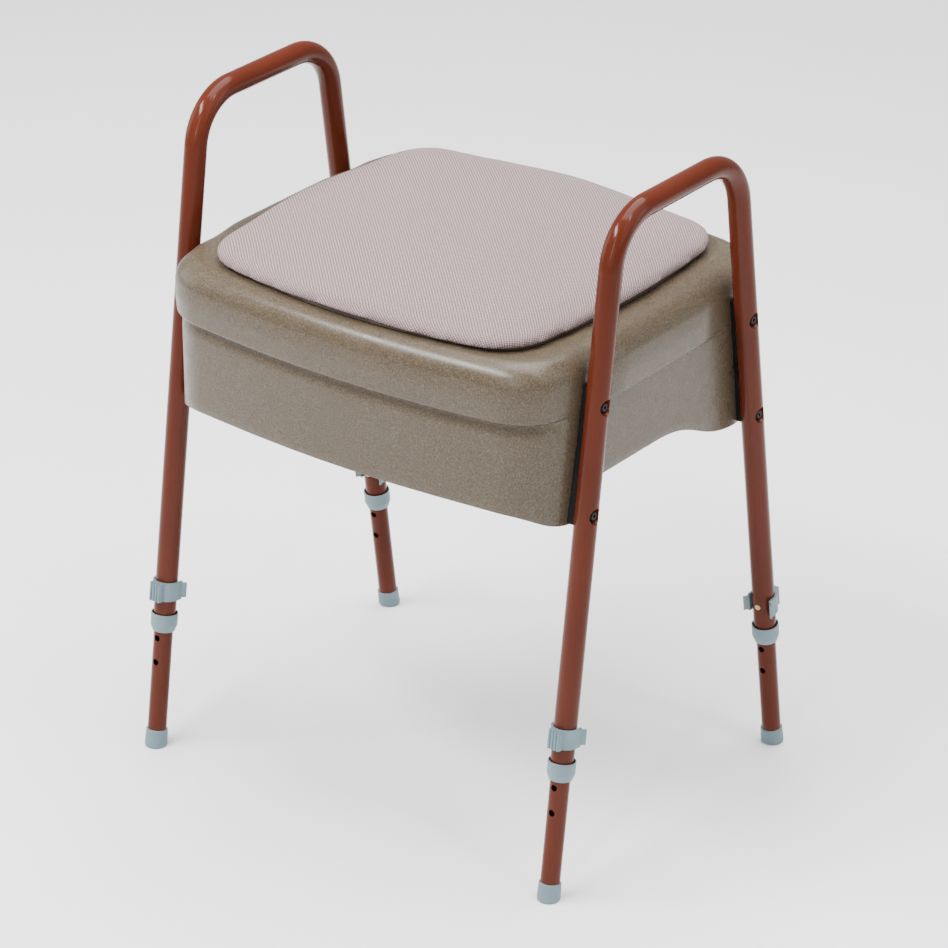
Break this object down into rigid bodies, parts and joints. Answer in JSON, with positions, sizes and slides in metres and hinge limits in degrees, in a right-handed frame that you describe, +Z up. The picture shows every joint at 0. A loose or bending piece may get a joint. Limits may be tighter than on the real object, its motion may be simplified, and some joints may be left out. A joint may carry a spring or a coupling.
{
  "type": "commode chair",
  "caption": "Height-adjustable commode chair: tubular arm frames, moulded seat shell with lift-off padded seat, rear-sliding pan and clip-locked telescopic legs.",
  "frame": {"origin": "on the floor, below the middle of the seat", "axes": "+Z up, -Y to the front of the chair, +X to the chair's side that is on the right when it is seen from the front"},
  "size_m": [0.5168, 0.4086, 0.6677],
  "materials": {
    "painted_tube": "glossy red-brown powder coat on steel tube",
    "seat_moulding": "speckled taupe granite-effect moulding, semi-gloss",
    "seat_fabric": "pinkish-beige ribbed weave",
    "seat_foam": "cut foam",
    "seat_board": "plain board",
    "grey_plastic": "light blue-grey satin moulding",
    "pin_brass": "passivated, dull",
    "black_bolt": "black domed socket head",
    "black_plastic": "black moulding",
    "zinc_steel": "zinc plated",
    "pan_plastic": "off-white polypropylene",
    "runner_plastic": "dark grey extrusion"
  },
  "bodies": {
    "frame": {"seat_shell": "seat_moulding", "left_side_frame": "painted_tube", "right_side_frame": "painted_tube", "left_pan_runner": "runner_plastic", "right_pan_runner": "runner_plastic", "runner_screws": "zinc_steel", "left_frame_bolts": "black_bolt", "right_frame_bolts": "black_bolt", "left_saddle_strips": "black_plastic", "right_saddle_strips": "black_plastic", "left_washers": "zinc_steel", "right_washers": "zinc_steel", "left_nuts": "zinc_steel", "right_nuts": "zinc_steel", "front_left_collar": "grey_plastic", "front_right_collar": "grey_plastic", "rear_left_collar": "grey_plastic", "rear_right_collar": "grey_plastic"},
    "seat_pad": {"seat_cover": "seat_fabric", "seat_foam": "seat_foam", "seat_board": "seat_board", "pad_locators": "black_plastic"},
    "pan": {"commode_pan": "pan_plastic", "pan_lid": "pan_plastic"},
    "front_left_leg": {"front_left_leg": "painted_tube", "front_left_ferrule": "grey_plastic"},
    "front_left_clip": {"front_left_clip": "grey_plastic", "front_left_pin": "pin_brass"},
    "front_right_leg": {"front_right_leg": "painted_tube", "front_right_ferrule": "grey_plastic"},
    "front_right_clip": {"front_right_clip": "grey_plastic", "front_right_pin": "pin_brass"},
    "rear_left_leg": {"rear_left_leg": "painted_tube", "rear_left_ferrule": "grey_plastic"},
    "rear_left_clip": {"rear_left_clip": "grey_plastic", "rear_left_pin": "pin_brass"},
    "rear_right_leg": {"rear_right_leg": "painted_tube", "rear_right_ferrule": "grey_plastic"},
    "rear_right_clip": {"rear_right_clip": "grey_plastic", "rear_right_pin": "pin_brass"}
  },
  "joints": [
    {"name": "seat_pad_lift", "type": "slide", "parent": "frame", "child": "seat_pad", "axis": [0, 0, 1], "range_m": [0, 0.25]},
    {"name": "pan_slide", "type": "slide", "parent": "frame", "child": "pan", "axis": [0, 1, 0], "range_m": [0, 0.35]},
    {"name": "front_left_leg_height", "type": "slide", "parent": "frame", "child": "front_left_leg", "axis": [0, 0.1396, 0.9902], "range_m": [-0.0762, 0.0762]},
    {"name": "front_left_clip_pull", "type": "slide", "parent": "frame", "child": "front_left_clip", "axis": [0, -0.9902, 0.1396], "range_m": [0, 0.035]},
    {"name": "front_right_leg_height", "type": "slide", "parent": "frame", "child": "front_right_leg", "axis": [0, 0.1396, 0.9902], "range_m": [-0.0762, 0.0762]},
    {"name": "front_right_clip_pull", "type": "slide", "parent": "frame", "child": "front_right_clip", "axis": [0, -0.9902, 0.1396], "range_m": [0, 0.035]},
    {"name": "rear_left_leg_height", "type": "slide", "parent": "frame", "child": "rear_left_leg", "axis": [0, -0.1396, 0.9902], "range_m": [-0.0762, 0.0762]},
    {"name": "rear_left_clip_pull", "type": "slide", "parent": "frame", "child": "rear_left_clip", "axis": [0, 0.9902, 0.1396], "range_m": [0, 0.035]},
    {"name": "rear_right_leg_height", "type": "slide", "parent": "frame", "child": "rear_right_leg", "axis": [0, -0.1396, 0.9902], "range_m": [-0.0762, 0.0762]},
    {"name": "rear_right_clip_pull", "type": "slide", "parent": "frame", "child": "rear_right_clip", "axis": [0, 0.9902, 0.1396], "range_m": [0, 0.035]}
  ]
}
